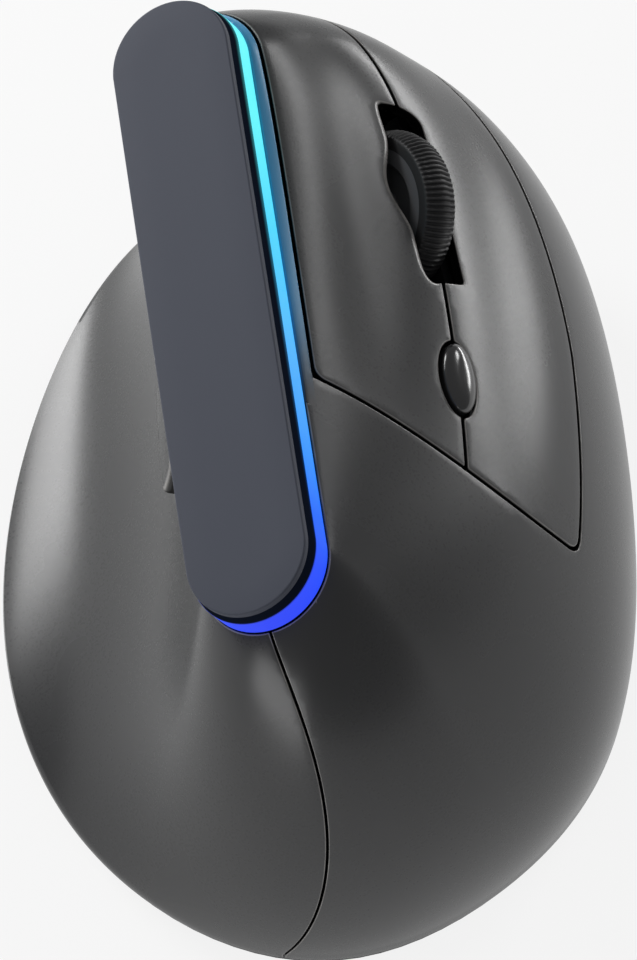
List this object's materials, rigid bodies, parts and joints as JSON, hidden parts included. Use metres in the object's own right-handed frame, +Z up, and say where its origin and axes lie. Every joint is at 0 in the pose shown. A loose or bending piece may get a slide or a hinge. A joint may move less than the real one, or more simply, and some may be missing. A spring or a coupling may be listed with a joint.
{
  "type": "vertical ergonomic mouse",
  "caption": "Right-hand vertical mouse with a tall tilted crest, lit band, sprung finger keys, clickable scroll wheel, resolution button and thumb buttons; wireless, on glide feet.",
  "frame": {"origin": "centre of the footprint on the desk, under the glide feet", "axes": "+Y towards the fingertips, +X to the finger side, +Z up from the desk"},
  "size_m": [0.0862, 0.1205, 0.0665],
  "materials": {
    "soft_grey": "soft-touch matt, fine grain",
    "slate_panel": "matt slate",
    "navy_bezel": "gloss near-black",
    "light_band": "frosted, lit cyan to blue",
    "slate_trim": "satin slate blue",
    "base_black": "textured black",
    "glide_white": "smooth low-friction",
    "steel": "bright",
    "frame_grey": "moulded near-black",
    "board_green": "solder mask",
    "board_white": "white solder mask",
    "clear_lens": "clear moulded",
    "cell_wrap": "wrapped cell",
    "knob_orange": "smooth",
    "plunger_red": "smooth",
    "tyre_rubber": "ribbed",
    "hub_grey": "satin",
    "gloss_black": "gloss"
  },
  "bodies": {
    "body": {"base_plate": "base_black", "glide_feet": "glide_white", "case_screws": "steel", "palm_shell": "soft_grey", "thumb_shell": "soft_grey", "crest_panel": "slate_panel", "crest_bezel": "navy_bezel", "light_guide": "light_band", "led_board": "board_white", "crest_spine": "frame_grey", "crest_trim": "slate_trim", "key_frame": "frame_grey", "left_board": "board_green", "right_board": "board_green", "wheel_board": "board_green", "main_board": "board_green", "side_board": "board_green", "board_screws": "steel", "sensor": "base_black", "sensor_lens": "clear_lens", "battery": "cell_wrap", "charge_port": "steel", "power_switch": "base_black", "left_key_pin": "steel", "left_switch": "base_black", "right_key_pin": "steel", "right_switch": "base_black", "cradle_pin": "steel", "middle_switch": "base_black", "dpi_switch": "base_black", "forward_switch": "base_black", "back_switch": "base_black"},
    "left_key": {"left_key": "soft_grey", "left_key_arm": "frame_grey"},
    "right_key": {"right_key": "soft_grey", "right_key_arm": "frame_grey"},
    "left_plunger": {"left_plunger": "plunger_red"},
    "right_plunger": {"right_plunger": "plunger_red"},
    "wheel_cradle": {"wheel_cradle": "frame_grey", "wheel_encoder": "board_green"},
    "wheel": {"wheel_tyre": "tyre_rubber", "wheel_hub": "hub_grey", "wheel_axle": "steel"},
    "middle_plunger": {"middle_plunger": "plunger_red"},
    "dpi_button": {"dpi_button": "gloss_black", "dpi_plunger": "plunger_red"},
    "forward_button": {"forward_button": "soft_grey", "forward_plunger": "plunger_red"},
    "back_button": {"back_button": "soft_grey", "back_plunger": "plunger_red"},
    "power_knob": {"power_knob": "knob_orange"}
  },
  "joints": [
    {"name": "left_key_press", "type": "hinge", "parent": "body", "child": "left_key", "pos_m": [0.00271, -0.00008, 0.05208], "axis": [-0.9096, -0.1368, 0.3923], "range_deg": [0, 0.8], "stiffness_Nm_per_rad": 1.2},
    {"name": "right_key_press", "type": "hinge", "parent": "body", "child": "right_key", "pos_m": [0.02549, -0.0087, 0.03415], "axis": [-0.6465, -0.105, 0.7556], "range_deg": [0, 0.8], "stiffness_Nm_per_rad": 1.2},
    {"name": "left_plunger_press", "type": "slide", "parent": "body", "child": "left_plunger", "axis": [-0.3957, -0.0021, -0.9184], "range_m": [0, 0.0006]},
    {"name": "right_plunger_press", "type": "slide", "parent": "body", "child": "right_plunger", "axis": [-0.757, -0.0348, -0.6525], "range_m": [0, 0.0006]},
    {"name": "wheel_click", "type": "hinge", "parent": "body", "child": "wheel_cradle", "pos_m": [0.00962, 0.0151, 0.03914], "axis": [-0.7835, -0.2627, 0.5632], "range_deg": [0, 1.1], "stiffness_Nm_per_rad": 1.2},
    {"name": "wheel_spin", "type": "hinge", "parent": "wheel_cradle", "child": "wheel", "pos_m": [0.00995, 0.02919, 0.04617], "axis": [0.7835, 0.2627, -0.5632], "continuous": true},
    {"name": "middle_plunger_press", "type": "slide", "parent": "body", "child": "middle_plunger", "axis": [-0.5691, -0.0607, -0.82], "range_m": [0, 0.0006]},
    {"name": "dpi_press", "type": "slide", "parent": "body", "child": "dpi_button", "axis": [-0.5984, 0.0006, -0.8012], "range_m": [0, 0.0005], "stiffness_N_per_m": 1000},
    {"name": "forward_press", "type": "slide", "parent": "body", "child": "forward_button", "axis": [0.9917, 0.1288, 0], "range_m": [0, 0.0005], "stiffness_N_per_m": 1000},
    {"name": "back_press", "type": "slide", "parent": "body", "child": "back_button", "axis": [0.9917, 0.1288, 0], "range_m": [0, 0.0005], "stiffness_N_per_m": 1000},
    {"name": "power_slide", "type": "slide", "parent": "body", "child": "power_knob", "axis": [1, 0, 0], "range_m": [0, 0.0025]}
  ],
  "couplings": [
    {"joint": "left_plunger_press", "follows": "left_key_press", "m_per_rad": 0.04},
    {"joint": "right_plunger_press", "follows": "right_key_press", "m_per_rad": 0.04},
    {"joint": "middle_plunger_press", "follows": "wheel_click", "m_per_rad": 0.0268}
  ]
}
